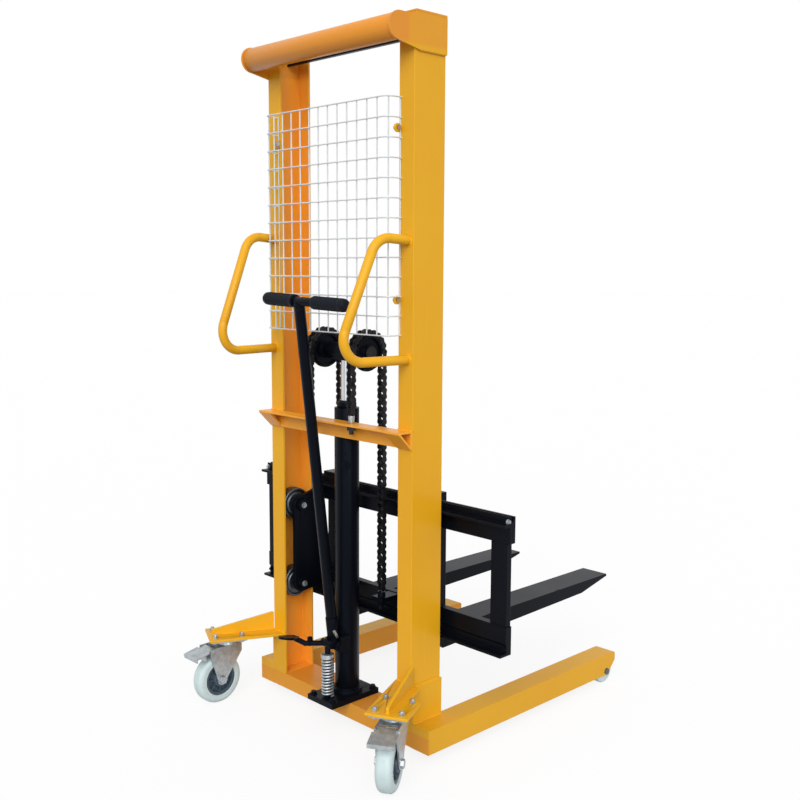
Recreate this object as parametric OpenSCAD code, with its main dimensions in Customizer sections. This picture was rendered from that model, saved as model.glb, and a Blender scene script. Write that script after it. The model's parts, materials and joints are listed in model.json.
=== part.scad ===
// Manual hydraulic hand stacker: a two-column mast on straddle legs, a roller
// carriage with two forks, a chain lift driven by a hand and foot pump, and
// two braked swivel casters behind the mast. Millimetres, +Z up, forks to +Y.

/* [Mast] */
// Overall height above the floor
overall_height = 2080; // [1900:10:2300]
// Width over the outer faces of the columns
mast_width = 644; // [600:2:700]
// Depth of a column from its rear face to its front face
column_depth = 119; // [110:1:130]
// Width of a column flange
column_flange = 58; // [50:1:64]
// Wall of a column
column_wall = 8; // [6:0.5:9]
// Thickness of the plate that closes the top of a column
cap_t = 6; // [4:1:10]

/* [Head] */
// Outer diameter of the cross tube at the top
head_tube_d = 69; // [60:1:74]
// Wall of the cross tube
head_tube_wall = 4; // [3:0.5:6]
// Distance of the cross tube's axis behind the rear faces of the columns
head_tube_back = 60; // [50:1:70]
// Distance of the cross tube's axis below the top
head_tube_drop = 52; // [46:1:60]
// Thickness of the cheek plates that hold the cross tube
cheek_t = 6; // [4:1:10]
// Height of the cheek plates on the columns
cheek_h = 98; // [85:1:115]
// Height of the front tie bar
tie_h = 34; // [24:1:40]
// Thickness of the front tie bar
tie_t = 14; // [10:1:20]

/* [Base and legs] */
// Width of a leg
leg_w = 72; // [64:1:80]
// Height of a leg
leg_h = 72; // [66:1:80]
// Length of a leg from the rear faces of the columns
leg_len = 913; // [800:1:1000]
// Wall of a leg and of the base
leg_wall = 6; // [4:0.5:8]
// Clearance of the legs over the floor
leg_clear = 30; // [24:1:36]
// Height of the base between the legs
base_h = 50; // [40:1:60]
// Depth of the base, front to back
base_depth = 124; // [120:1:140]
// Height of the side plates that tie the columns to the legs
side_plate_h = 110; // [90:1:130]
// Thickness of those side plates
side_plate_t = 8; // [5:1:12]
// Diameter of the load wheels
load_wheel_d = 84; // [78:1:90]
// Width of the load wheels
load_wheel_w = 54; // [44:1:56]
// Diameter of the load wheel axles
load_axle_d = 16; // [12:1:20]

/* [Casters] */
// Diameter of the caster wheels
caster_d = 160; // [150:2:166]
// Width of the caster wheels
caster_w = 48; // [40:1:52]
// Distance of a swivel axis from the middle of the mast
swivel_x = 395; // [385:1:410]
// Distance of the swivel axes behind the rear faces of the columns
swivel_back = 137; // [137:1:150]
// Trail of the wheel axle behind the swivel axis
caster_trail = 42; // [36:1:44]
// Turn of the right caster, outwards
right_turn = 32; // [-90:1:90]
// Turn of the left caster, outwards
left_turn = 0; // [-90:1:90]
// Turn of the bracket arms, outwards
arm_turn = 26; // [20:1:30]
// Width of a bracket arm
arm_w = 124; // [118:1:130]
// Thickness of a bracket arm
arm_t = 8; // [6:1:12]
// Height of the gusset on a bracket arm where it meets the column
gusset_h = 64; // [50:1:80]
// Thickness of that gusset
gusset_t = 10; // [6:1:14]
// Spacing of the caster bolts across the arm
bolt_across = 77; // [70:1:84]
// Spacing of the caster bolts along the arm
bolt_along = 85; // [78:1:88]
// Diameter of the caster bolts
bolt_d = 10; // [8:1:12]
// Length of a brake pedal behind its hinge
pedal_len = 70; // [60:1:72]
// Slope of a brake pedal, down towards its outer edge
pedal_slope = 12; // [8:1:16]

/* [Guard and handles] */
// Distance of the guard's sides from the outer faces of the columns
guard_inset = 48; // [46:1:70]
// Height of the wire guard
guard_h = 642; // [500:1:700]
// Distance of the top of the guard below the overall height
guard_drop = 222; // [200:1:280]
// Distance of the guard behind the rear faces of the columns
guard_back = 53; // [45:1:56]
// Gaps of the guard across its width
guard_cols = 13; // [8:1:16]
// Gaps of the guard over its height
guard_rows = 12; // [8:1:14]
// Diameter of the guard's wires
guard_wire = 4; // [3:0.5:5]
// Diameter of the grab handles' tube
grab_d = 27; // [22:1:32]
// Height of the right grab handle's upper bar
grab_top_right = 1484; // [1450:1:1520]
// Height of the left grab handle's upper bar
grab_top_left = 1498; // [1450:1:1520]
// Height of the lower end of a grab handle
grab_bottom = 1150; // [1110:1:1180]
// Reach of a grab handle at its upper corner
grab_reach_top = 105; // [90:1:120]
// Reach of a grab handle at its lower corner
grab_reach_bottom = 245; // [220:1:250]
// Bend radius of a grab handle
grab_bend = 62; // [45:1:66]
// Turn of a grab handle inwards
grab_toe = 6; // [0:1:7]

/* [Lift] */
// Outer diameter of the lift cylinder
cylinder_d = 75; // [68:1:76]
// Bore of the lift cylinder
cylinder_bore = 55; // [48:1:58]
// Diameter of the lift rod
rod_d = 35; // [30:1:40]
// Distance of the cylinder's axis in front of the columns' rear faces
cylinder_y = 39; // [39:1:44]
// Top of the cylinder tube above the floor
cylinder_top = 985; // [960:1:1000]
// Height of the chain pulleys' axis in the drawn position
pulley_z = 1155; // [1145:1:1170]
// Pitch diameter of the chain pulleys
pulley_pd = 122; // [116:1:124]
// Distance of a chain from the middle of the mast
chain_x = 95; // [88:1:100]
// Pitch of the chain
chain_pitch = 19.05; // [15.875, 19.05]
// Width of the chain over its pins
chain_w = 26; // [22:1:28]
// Height of the angle brace's top flange
brace_top = 952; // [930:1:956]
// Width of the angle brace's flanges
brace_w = 52; // [46:1:56]
// Thickness of the angle brace
brace_t = 6; // [5:1:8]

/* [Carriage and forks] */
// Length of the carriage beams
beam_len = 1108; // [1000:2:1160]
// Thickness of the carriage beams
beam_t = 25; // [22:1:28]
// Height of the upper beam
upper_beam_h = 77; // [70:1:84]
// Height of the lower beam
lower_beam_h = 83; // [76:1:90]
// Height of the carriage over both beams
carriage_h = 399; // [380:1:420]
// Bottom of the carriage above the floor, as drawn
carriage_z = 326; // [310:1:420]
// Distance of the beams in front of the columns
beam_gap = 29; // [24:1:34]
// Width of the end uprights of the carriage
upright_w = 58; // [50:1:70]
// Thickness of the carriage side plates
carriage_plate_t = 12; // [8:1:14]
// Spacing of the carriage rollers, upper to lower
roller_spacing = 261; // [240:1:270]
// Width of a carriage roller
roller_w = 36; // [30:1:40]
// Width of a fork
fork_w = 102; // [90:1:110]
// Thickness of a fork's shank
fork_t = 40; // [35:1:44]
// Length of a fork's blade in front of its shank
fork_len = 842; // [700:1:900]
// Thickness of the blade behind its taper
blade_t = 40; // [36:1:46]
// Distance of a fork's middle from the middle of the mast, as drawn
fork_x = 201; // [180:1:210]

/* [Pump] */
// Height of the pump lever's pivot above the floor
lever_z = 255; // [250:1:262]
// Arm from the lever's pivot to the plunger roller
lever_arm = 28; // [27:0.5:29]
// Lean of the pump handle from the vertical
handle_lean = 6.9; // [4:0.1:9]
// Length of the handle from the pivot to its cross bar
handle_len = 1059; // [950:1:1080]
// Diameter of the handle tube
handle_d = 33; // [28:1:36]
// Half length of the handle's cross bar
bar_half = 179; // [160:1:190]
// Distance of the cross bar's middle to the right of the handle
bar_shift = 26; // [0:1:30]
// Tilt of the cross bar, left end up
bar_tilt = 2; // [0:0.5:3]
// Diameter of the cross bar
bar_d = 26; // [22:1:28]
// Diameter of the grips
grip_d = 39; // [34:1:42]
// Length of a grip
grip_len = 138; // [110:1:146]
// Diameter of the return spring over its coils
spring_d = 40; // [38:1:42]
// Wire of the return spring
spring_wire = 6.5; // [5:0.5:7]
// Coils of the return spring
spring_coils = 13; // [9:1:14]

/* [Hidden] */
$fn = 48;

// Clearances
fit = 0.05;
slip = 0.3;
run = 0.8;
eps = 0.5;

// Derived heights and places, with Y = 0 at the rear faces of the columns
half = mast_width / 2;
leg_top = leg_clear + leg_h;
base_top = leg_clear + base_h;
column_top = overall_height - cap_t;
web_in = half - column_wall;
flange_in = half - column_flange;
head_z = overall_height - head_tube_drop;
nose_r = head_tube_d / 2 + 2.5;
arm_z = caster_d + 50;
axle_z = caster_d / 2;
load_r = load_wheel_d / 2;
load_y = leg_len - load_r - 5;
leg_mid = half + leg_w / 2;
beam_y = column_depth + beam_gap;
carriage_top = carriage_z + carriage_h;
fork_y = beam_y + beam_t + 2;
blade_top = carriage_z - 12;
roller_r = (column_depth - 2 * column_wall) / 2 - run;
roller_y = column_depth / 2;
roller_z = [carriage_z + 53, carriage_z + 53 + roller_spacing];
roller_x = web_in - 6 - roller_w;
roller_axle_r = 15;
plate_x = flange_in - 6 - carriage_plate_t;
roller_boss = roller_axle_r + 14;
pulley_y = cylinder_y - 4;
pulley_r = pulley_pd / 2;
chain_back = pulley_y - pulley_r;
chain_front = pulley_y + pulley_r;
roller_d = chain_pitch * 0.625;
link_h = chain_pitch * 0.92;
link_t = 3;
fixed_links = floor((pulley_z - brace_top - 26) / chain_pitch);
lift_end = carriage_z + lower_beam_h + 18;
lift_links = floor((pulley_z - lift_end) / chain_pitch);
rod_bottom = 290;
crosshead_z = pulley_z - 26;
shaft_r = 12;
pump_t = 17;
pump_top = base_top + pump_t;
lever_y = cylinder_y - cylinder_d / 2 - 15.5;
lever_rest = 20;
plunger_y = lever_y - lever_arm * cos(lever_rest);
push_r = 12;
cap_z = lever_z + lever_arm * sin(lever_rest) - push_r - slip;
seat_z = cap_z - 26;
lug_in = 24;
lug_t = 10;
guard_w = mast_width - 2 * guard_inset;
guard_top = overall_height - guard_drop;
guard_y = -guard_back;
row_pitch = guard_h / guard_rows;
guard_zs = [guard_top - 1.5 * row_pitch, guard_top - 10 * row_pitch - guard_wire - 5];
tab_back = 12;

// Bracket arms and casters
arm_rear = bolt_along / 2 + 21;
arm_front = (swivel_back + arm_w / 2 * sin(arm_turn)) / cos(arm_turn);
caster_plate_t = 6;
plate_low = arm_z - caster_plate_t;
pin_r = 8;
crown_z = arm_z - 25;
crown_t = 5;
leg_gap = caster_w / 2 + 4;
yoke_t = 5;
tyre_in = caster_d / 2 - 26;
pedal_half = leg_gap + 9;
pedal_low = 3;
pedal_t = 4;
hinge_y = -caster_trail - 30;
hinge_z = crown_z - 4;
hinge_r = 4;

// The origin is under the middle of the box that holds the whole stacker
pedal_rear = -hinge_y + pedal_len * cos(pedal_slope) + (pedal_low + pedal_t) * sin(pedal_slope);
function pedal_reach(turn) = pedal_rear * cos(turn) + pedal_half * sin(abs(turn));
rear_end = swivel_back + max(pedal_reach(left_turn), pedal_reach(right_turn));
front_end = fork_y + fork_t + fork_len;
mid_y = (front_end - rear_end) / 2;

yellow = [0.93, 0.66, 0.12];
black = [0.09, 0.09, 0.10];
zinc = [0.74, 0.76, 0.78];
steel = [0.55, 0.57, 0.60];
white = [0.90, 0.92, 0.92];
slate = [0.25, 0.30, 0.38];

// Puts a shape drawn in the mast's own frame into the stacker's frame
module placed() translate([0, -mid_y, 0]) children();

// Turns a drawing in X and Y into the Y-Z plane, with its height along X
module side_on() rotate([90, 0, 90]) children();

// Makes a piece and its mirror image on the other side of the mast
module both_sides() {
  children();
  mirror([1, 0, 0]) children();
}

// Round bar along X at a place in the Y-Z plane
module x_bar(y, z, r, x0, x1) side_on() translate([y, z, x0]) cylinder(r = r, h = x1 - x0);

// Round bar between two points
module bar_between(p, q, r) {
  d = q - p;
  len = norm(d);
  translate(p) rotate([0, acos(d.z / len), atan2(d.y, d.x)]) cylinder(r = r, h = len);
}

module mast_columns() color(yellow) both_sides()
  translate([flange_in, 0, base_top]) linear_extrude(column_top - base_top) difference() {
    square([column_flange, column_depth]);
    translate([-eps, column_wall])
      square([column_flange - column_wall + eps, column_depth - 2 * column_wall]);
  }

module column_caps() color(yellow) both_sides()
  translate([flange_in, 0, column_top]) cube([column_flange + cheek_t, column_depth, cap_t]);

// A cheek: a plate on the outer face of a column with a round nose for the tube
module head_cheeks() {
  slope = 15;
  low = column_top - cheek_h;
  color(yellow) both_sides() side_on() translate([0, 0, half]) linear_extrude(cheek_t) {
    translate([-head_tube_back, head_z]) circle(nose_r);
    polygon([
      [-head_tube_back, head_z + nose_r], [0, head_z + nose_r], [0, column_top],
      [column_depth, column_top], [column_depth, low], [15, low],
      [-head_tube_back - nose_r * sin(slope), head_z - nose_r * cos(slope)]
    ]);
  }
}

module head_tube() color(yellow) side_on() translate([-head_tube_back, head_z, -half]) difference() {
  cylinder(d = head_tube_d, h = mast_width);
  translate([0, 0, -eps]) cylinder(d = head_tube_d - 2 * head_tube_wall, h = mast_width + 2 * eps);
}

module front_tie_bar() color(black)
  translate([-web_in, column_depth - column_wall - tie_t - 30, column_top - tie_h - 14])
    cube([2 * web_in, tie_t, tie_h]);

// The base is a folded channel, open below, that carries the columns and the pump
module base_frame() color(yellow) translate([-half, 0, leg_clear]) difference() {
  cube([mast_width, base_depth, base_h]);
  translate([-eps, leg_wall, -eps])
    cube([mast_width + 2 * eps, base_depth - 2 * leg_wall, base_h - leg_wall + eps]);
}

// Side view of a leg: the tip is raked back under a rounded corner
module leg_outline() {
  nose = 11;
  rake = 41;
  polygon([
    [0, leg_clear], [leg_len - rake, leg_clear], [leg_len, leg_clear + 42],
    [leg_len, leg_top - nose], [leg_len - nose, leg_top], [0, leg_top]
  ]);
  translate([leg_len - nose, leg_top - nose]) circle(nose);
}

module straddle_legs() {
  well = load_wheel_d + 24;
  color(yellow) both_sides() difference() {
    side_on() translate([0, 0, half]) linear_extrude(leg_w) leg_outline();
    translate([half + leg_wall, leg_wall, leg_clear + leg_wall])
      cube([leg_w - 2 * leg_wall, leg_len - 2 * leg_wall, leg_h - 2 * leg_wall]);
    translate([half + leg_wall, load_y + load_r + 10 - well, leg_clear - eps])
      cube([leg_w - 2 * leg_wall, well, load_wheel_d - leg_clear + 8]);
    x_bar(load_y, load_r, load_axle_d / 2 + fit, half - eps, half + leg_w + eps);
  }
}

module column_side_plates() color(yellow) both_sides()
  translate([half, 0, leg_top]) cube([side_plate_t, column_depth, side_plate_h]);

module load_wheel_axles() color(steel) both_sides() {
  x_bar(load_y, load_r, load_axle_d / 2, half, half + leg_w + 3);
  x_bar(load_y, load_r, load_axle_d / 2 + 3, half + leg_w, half + leg_w + 4);
}

module load_wheel(side) color(white) translate([side * leg_mid, load_y, load_r]) rotate([0, 90, 0])
  rotate_extrude() {
    edge = 4;
    w = load_wheel_w / 2;
    polygon([
      [load_axle_d / 2 + fit, -w], [load_r - edge, -w], [load_r, -w + edge],
      [load_r, w - edge], [load_r - edge, w], [load_axle_d / 2 + fit, w]
    ]);
  }

// Places things in the frame of one bracket arm: +Y runs along the arm to the mast
module on_arm(side) translate([side * swivel_x, -swivel_back, 0]) rotate(side * arm_turn) children();

module bolt_places() for (x = [-1, 1], y = [-1, 1])
  translate([x * bolt_across / 2, y * bolt_along / 2, 0]) children();

module caster_bracket() {
  difference() {
    on_arm(1) union() {
      translate([-arm_w / 2, -arm_rear, arm_z]) cube([arm_w, arm_rear + bolt_along / 2 + 14, arm_t]);
      translate([-arm_w / 2, 0, arm_z]) cube([arm_w * 0.72, arm_front, arm_t]);
      rotate([90, 0, 90]) translate([0, arm_z + arm_t, -gusset_t / 2]) linear_extrude(gusset_t)
        polygon([[-arm_rear + 14, 0], [arm_front, 0], [arm_front, gusset_h], [-arm_rear + 14, 17]]);
    }
    translate([0, 0, arm_z - eps]) cube([half + side_plate_t + 60, 2 * arm_w, gusset_h + arm_t + 2 * eps]);
    on_arm(1) bolt_places() translate([0, 0, arm_z - eps])
      cylinder(d = bolt_d + 2 * fit, h = arm_t + 2 * eps);
  }
}

module caster_brackets() color(yellow) both_sides() caster_bracket();

module caster_mount_plates() color(zinc) both_sides() on_arm(1) difference() {
  translate([-arm_w / 2 + 8, -arm_rear + 6, plate_low])
    cube([arm_w - 16, bolt_along + 30, caster_plate_t]);
  bolt_places() translate([0, 0, plate_low - eps])
    cylinder(d = bolt_d + 2 * fit, h = caster_plate_t + 2 * eps);
  translate([0, 0, plate_low - eps]) cylinder(r = pin_r + fit, h = caster_plate_t + 2 * eps);
}

// Bolts from below through the caster's plate and the arm, with a nut on top
module caster_bolts() color(zinc) both_sides() on_arm(1) bolt_places() {
  head = 5;
  nut = 8;
  translate([0, 0, plate_low - head]) cylinder(d = bolt_d * 1.8, h = head, $fn = 6);
  translate([0, 0, plate_low - head]) cylinder(d = bolt_d, h = arm_t + caster_plate_t + head + nut + 4);
  translate([0, 0, arm_z + arm_t]) cylinder(d = bolt_d * 1.8, h = nut, $fn = 6);
}

// Frame of one caster: origin on the floor under the swivel axis, wheel to -Y
module on_caster(side, turn) translate([side * swivel_x, -swivel_back, 0]) rotate(side * turn) children();

module yoke_cheek() difference() {
  side_on() translate([0, 0, leg_gap]) linear_extrude(yoke_t) {
    boss = 17;
    translate([-caster_trail, axle_z]) circle(boss);
    polygon([
      [34, crown_z + crown_t], [hinge_y - 13, crown_z + crown_t], [hinge_y - 13, hinge_z - 12],
      [-caster_trail - boss, axle_z], [-caster_trail + boss, axle_z], [34, crown_z - 24]
    ]);
  }
  x_bar(hinge_y, hinge_z, hinge_r + fit, leg_gap - eps, leg_gap + yoke_t + eps);
}

module caster_yoke(side, turn) color(zinc) on_caster(side, turn) {
  race_r = 36;
  axle_r = 10;
  both_sides() yoke_cheek();
  translate([-leg_gap - yoke_t, hinge_y + 18, crown_z])
    cube([2 * (leg_gap + yoke_t), 34 - hinge_y - 18, crown_t]);
  translate([0, 0, crown_z + crown_t - 1]) cylinder(r = race_r, h = plate_low - slip - crown_z - crown_t + 1);
  cylinder_top_z = arm_z - slip;
  translate([0, 0, plate_low - 2]) cylinder(r = pin_r, h = cylinder_top_z - plate_low + 2);
  x_bar(-caster_trail, axle_z, axle_r, -leg_gap - yoke_t - 3, leg_gap + yoke_t + 3);
  both_sides() side_on() translate([-caster_trail, axle_z, leg_gap + yoke_t])
    cylinder(r = 13, h = 8, $fn = 6);
}

module caster_tyre(side, turn) color(white) on_caster(side, turn)
  translate([0, -caster_trail, axle_z]) rotate([0, 90, 0]) rotate_extrude() difference() {
    shoulder = 15;
    w = caster_w / 2;
    union() {
      translate([tyre_in, -w + shoulder]) square([caster_d / 2 - tyre_in, caster_w - 2 * shoulder]);
      translate([tyre_in, -w]) square([caster_d / 2 - tyre_in - shoulder, caster_w]);
      for (y = [-1, 1]) translate([caster_d / 2 - shoulder, y * (w - shoulder)]) circle(shoulder);
    }
    translate([0, -caster_w]) square([tyre_in, 2 * caster_w]);
  }

module caster_hub(side, turn) color(slate) on_caster(side, turn)
  translate([0, -caster_trail, axle_z]) rotate([0, 90, 0]) rotate_extrude() {
    bore = 10 + fit;
    boss = 24;
    rim = tyre_in - 9;
    w = caster_w / 2;
    web = 8;
    polygon([
      [bore, -w - 3], [boss, -w - 3], [boss + 4, -web], [rim - 4, -web], [rim, -w + 3], [tyre_in, -w + 3],
      [tyre_in, w - 3], [rim, w - 3], [rim - 4, web], [boss + 4, web], [boss, w + 3], [bore, w + 3]
    ]);
  }

// A brake pedal: a sloping plate with a turned-down edge, on a pin through the
// yoke, and a shoe under it that stops just short of the tyre
module brake_pedal(side, turn) color(zinc) on_caster(side, turn) {
  narrow = leg_gap - 0.7;
  lip = 9;
  x_bar(hinge_y, hinge_z, hinge_r, -leg_gap - yoke_t - 2, leg_gap + yoke_t + 2);
  translate([0, hinge_y, hinge_z]) rotate([pedal_slope, 0, 0]) {
    translate([-narrow, -22, pedal_low]) cube([2 * narrow, 28, pedal_t]);
    translate([-pedal_half, -pedal_len, pedal_low]) cube([2 * pedal_half, pedal_len - 18, pedal_t]);
    translate([-pedal_half, -pedal_len, pedal_low - lip]) cube([2 * pedal_half, pedal_t, lip + 1]);
    translate([-caster_w / 2 + 4, -30, -26]) cube([caster_w - 8, 6, 27 + pedal_low]);
  }
}

// The brace: an angle across the rear faces with a sloping plate at each end
module angle_brace() color(yellow) difference() {
  union() {
    translate([-half, -brace_w, brace_top - brace_t]) cube([mast_width, brace_w, brace_t]);
    translate([-half, -brace_t, brace_top - brace_w]) cube([mast_width, brace_t, brace_w]);
    both_sides() side_on() translate([0, 0, flange_in]) linear_extrude(column_flange) polygon([
      [-brace_w, brace_top - brace_t], [-brace_w + 1.5 * brace_t, brace_top - brace_t],
      [-brace_t, brace_top - brace_w + 1.5 * brace_t], [-brace_t, brace_top - brace_w]
    ]);
  }
  both_sides() translate([chain_x, chain_back, brace_top - 2 * brace_t]) cylinder(r = 7 + fit, h = 3 * brace_t);
}

// A tube bent in one plane, drawn in X and Y, along the points of a polyline
function unit(v) = v / norm(v);
function corner_turn(a, b, c) = acos(unit(b - a) * unit(c - b));
function corner_trim(a, b, c, bend) = bend * tan(corner_turn(a, b, c) / 2);

module bent_bar(points, r, bend) {
  last = len(points) - 1;
  for (i = [0:last - 1]) {
    way = unit(points[i + 1] - points[i]);
    head = i == 0 ? 0 : corner_trim(points[i - 1], points[i], points[i + 1], bend);
    tail = i == last - 1 ? 0 : corner_trim(points[i], points[i + 1], points[i + 2], bend);
    p = points[i] + (i == 0 ? head : head - fit) * way;
    q = points[i + 1] - (i == last - 1 ? tail : tail - fit) * way;
    bar_between([p.x, p.y, 0], [q.x, q.y, 0], r + fit / 2);
  }
  for (i = [1:last - 1]) {
    way = unit(points[i] - points[i - 1]);
    next = unit(points[i + 1] - points[i]);
    left = sign(way.x * next.y - way.y * next.x);
    turn = corner_turn(points[i - 1], points[i], points[i + 1]);
    start = points[i] - corner_trim(points[i - 1], points[i], points[i + 1], bend) * way;
    heading = atan2(way.y, way.x);
    translate([start.x, start.y, 0]) rotate(heading) translate([0, left * bend, 0])
      rotate(left > 0 ? -90 : 90 - turn) rotate_extrude(angle = turn) translate([bend, 0]) circle(r);
  }
}

// A grab handle, cut off flat at the rear face of its column
module grab_handle(side, top) color(yellow) difference() {
  translate([side * (half - 22), 0, 0]) rotate(-side * grab_toe) side_on() bent_bar([
    [5, top - 8], [-grab_reach_top, top], [-grab_reach_bottom, grab_bottom], [5, grab_bottom]
  ], grab_d / 2, grab_bend);
  translate([-2 * half, 0, 0]) cube([4 * half, 40, overall_height]);
}

// A flat grid of square wires: width, height, gaps across and gaps up
module wire_grid(w, h, across, up) linear_extrude(guard_wire) {
  for (i = [0:across]) translate([i * w / across - guard_wire / 2, -guard_wire / 2]) square([guard_wire, h + guard_wire]);
  for (i = [0:up]) translate([-guard_wire / 2, i * h / up - guard_wire / 2]) square([w + guard_wire, guard_wire]);
}

module guard_mesh() color(white)
  translate([-guard_w / 2, guard_y + guard_wire / 2, guard_top - guard_h]) rotate([90, 0, 0])
    wire_grid(guard_w, guard_h, guard_cols, guard_rows);

module guard_mesh_sides() color(white) both_sides()
  translate([guard_w / 2 - guard_wire / 2, guard_y + guard_wire, guard_top - guard_h])
    side_on() wire_grid(guard_back - 1.5 * guard_wire, guard_h, 1, guard_rows);

tab_x = guard_w / 2 - guard_wire / 2 - 6;

module guard_lugs() color(yellow) both_sides() for (z = guard_zs)
  side_on() translate([0, z, tab_x]) linear_extrude(6) difference() {
    union() {
      translate([-tab_back, -tab_back]) square([tab_back, 2 * tab_back]);
      translate([-tab_back, 0]) circle(tab_back);
    }
    translate([-tab_back, 0]) circle(4 + fit);
  }

module guard_bolts() color(zinc) both_sides() for (z = guard_zs) {
  x_bar(-tab_back, z, 4, tab_x - 9, tab_x + 13);
  side_on() translate([-tab_back, z, tab_x - 6]) cylinder(r = 7.5, h = 6, $fn = 6);
  x_bar(-tab_back, z, 6.5, tab_x + 6 + guard_wire, tab_x + 8 + guard_wire);
}

foot_w = cylinder_d + 41;
foot_back = spring_d / 2 + 12;

// The pump's foot: a plate with the cylinder's collar and the plunger's barrel
module pump_base() color(black) difference() {
  union() {
    translate([-foot_w / 2, plunger_y - foot_back, base_top])
      cube([foot_w, base_depth - plunger_y + foot_back - 6, pump_t]);
    translate([0, cylinder_y, pump_top - eps]) cylinder(d = cylinder_d + 18, h = 12);
    translate([0, plunger_y, pump_top - eps]) cylinder(r = spring_d / 2 - spring_wire - 2, h = 74);
  }
  translate([0, cylinder_y, pump_top]) cylinder(d = cylinder_d + 2 * fit, h = 20);
  translate([0, plunger_y, pump_top]) cylinder(r = 9 + fit, h = 100);
}

module lift_cylinder() color(black) translate([0, cylinder_y, pump_top]) difference() {
  cylinder(d = cylinder_d, h = cylinder_top - pump_top);
  translate([0, 0, 14]) cylinder(d = cylinder_bore, h = cylinder_top - pump_top);
}

module cylinder_head() color(black) translate([0, cylinder_y, cylinder_top]) difference() {
  union() {
    cylinder(d = cylinder_d - 16, h = 16);
    translate([0, 0, -26]) cylinder(d = cylinder_bore - 2 * fit, h = 27);
  }
  translate([0, 0, -30]) cylinder(d = rod_d + 2 * fit, h = 60);
}

// Two lugs on the cylinder that carry the lever's pivot pin
module lever_lugs() color(black) both_sides() difference() {
  side_on() translate([0, 0, lug_in]) linear_extrude(lug_t) {
    translate([lever_y, lever_z]) circle(17);
    translate([lever_y, lever_z - 17]) square([cylinder_y - lever_y, 48]);
  }
  translate([0, cylinder_y, 0]) cylinder(d = cylinder_d + 2 * fit, h = cylinder_top);
  x_bar(lever_y, lever_z, 8 + fit, 0, half);
}

module lever_pin() color(steel) {
  out = lug_in + lug_t;
  x_bar(lever_y, lever_z, 8, -out - 2, out + 2);
  both_sides() x_bar(lever_y, lever_z, 12, out, out + 4);
}

// Studs through the brace: a nut below, and a fork above that takes the chain
module chain_anchors() color(zinc) both_sides() translate([chain_x, chain_back, 0]) {
  top = pulley_z - fixed_links * chain_pitch;
  translate([0, 0, brace_top - 32]) cylinder(r = 7, h = 40);
  translate([0, 0, brace_top - brace_t - 14]) cylinder(r = 13, h = 14, $fn = 6);
  translate([0, 0, brace_top]) cylinder(r1 = 8, r2 = 10, h = top - brace_top - link_h / 2 - slip);
}

// Side view of one link plate
module link_plate() {
  circle(d = link_h, $fn = 20);
  translate([0, -link_h * 0.36]) square([chain_pitch, link_h * 0.72]);
  translate([chain_pitch, 0]) circle(d = link_h, $fn = 20);
}

inner_x = chain_w / 2 - 2 * link_t - 1.4;

// One pitch of chain lying along +X with its pins along Z
module chain_link(outer) {
  x = outer ? inner_x + link_t + 0.4 : inner_x;
  for (z = [x, -x - link_t]) translate([0, 0, z]) linear_extrude(link_t) link_plate();
}

module chain_pin() {
  cylinder(d = roller_d * 0.5, h = chain_w, center = true, $fn = 20);
  cylinder(d = roller_d, h = 2 * inner_x + 0.4, center = true, $fn = 20);
}

// A straight run of chain from the pulley's tangent downwards
module chain_run(links) {
  for (i = [0:links]) translate([0, -i * chain_pitch, 0]) chain_pin();
  for (i = [0:links - 1]) translate([0, -i * chain_pitch, 0]) rotate(-90) chain_link(i % 2 == 0);
}

module chain_fixed_runs() color(black) both_sides()
  side_on() translate([chain_back, pulley_z - chain_pitch, chain_x]) chain_run(fixed_links - 1);

module chain_lift_runs() color(black) both_sides()
  side_on() translate([chain_front, pulley_z - chain_pitch, chain_x]) chain_run(lift_links - 1);

// The chain over a pulley: pins at the pitch circle, links along the chords
wrap_step = 2 * asin(chain_pitch / pulley_pd);
wrap_links = floor(180 / wrap_step);
module chain_wraps() {
  first = (180 - wrap_links * wrap_step) / 2;
  color(black) both_sides() side_on() translate([pulley_y, pulley_z, chain_x]) {
    for (i = [0:wrap_links]) rotate(first + i * wrap_step) translate([pulley_r, 0, 0]) chain_pin();
    for (i = [0:wrap_links - 1]) rotate(first + i * wrap_step) translate([pulley_r, 0, 0])
      rotate(90 + wrap_step / 2) chain_link(i % 2 == 1);
  }
}

module lift_rod() color(zinc) translate([0, cylinder_y, 0]) {
  translate([0, 0, rod_bottom]) cylinder(d = rod_d, h = crosshead_z - rod_bottom);
  translate([0, 0, rod_bottom]) cylinder(d = cylinder_bore - 2 * fit, h = 24);
}

// The crosshead: a saddle on the rod with a boss round the pulley shaft
module crosshead() {
  w = chain_x - chain_w / 2 - 14;
  color(black) difference() {
    union() {
      translate([-30, cylinder_y - 28, crosshead_z]) cube([60, 56, 20]);
      x_bar(pulley_y, pulley_z, 26, -w, w);
    }
    x_bar(pulley_y, pulley_z, shaft_r + fit, -half, half);
  }
}

module pulley_shaft() color(steel) {
  end = chain_x + chain_w / 2 + 3;
  x_bar(pulley_y, pulley_z, shaft_r, -end, end);
  both_sides() x_bar(pulley_y, pulley_z, shaft_r + 8, end, end + 4);
}

// A chain pulley: a rim between the link plates on a recessed disc with a hub
module chain_pulley(side) color(black) translate([side * chain_x, pulley_y, pulley_z]) rotate([0, 90, 0])
  rotate_extrude() {
    rim = pulley_r - roller_d / 2 - slip;
    disc = pulley_r - link_h / 2 - slip - 1;
    rim_w = inner_x - 0.4;
    disc_w = chain_w / 2;
    polygon([
      [shaft_r + fit, -disc_w], [shaft_r + 12, -disc_w], [shaft_r + 14, -rim_w], [disc - 8, -rim_w],
      [disc - 6, -disc_w], [disc, -disc_w], [disc, -rim_w], [rim, -rim_w], [rim, rim_w], [disc, rim_w],
      [disc, disc_w], [disc - 6, disc_w], [disc - 8, rim_w], [shaft_r + 14, rim_w],
      [shaft_r + 12, disc_w], [shaft_r + fit, disc_w]
    ]);
  }

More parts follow.
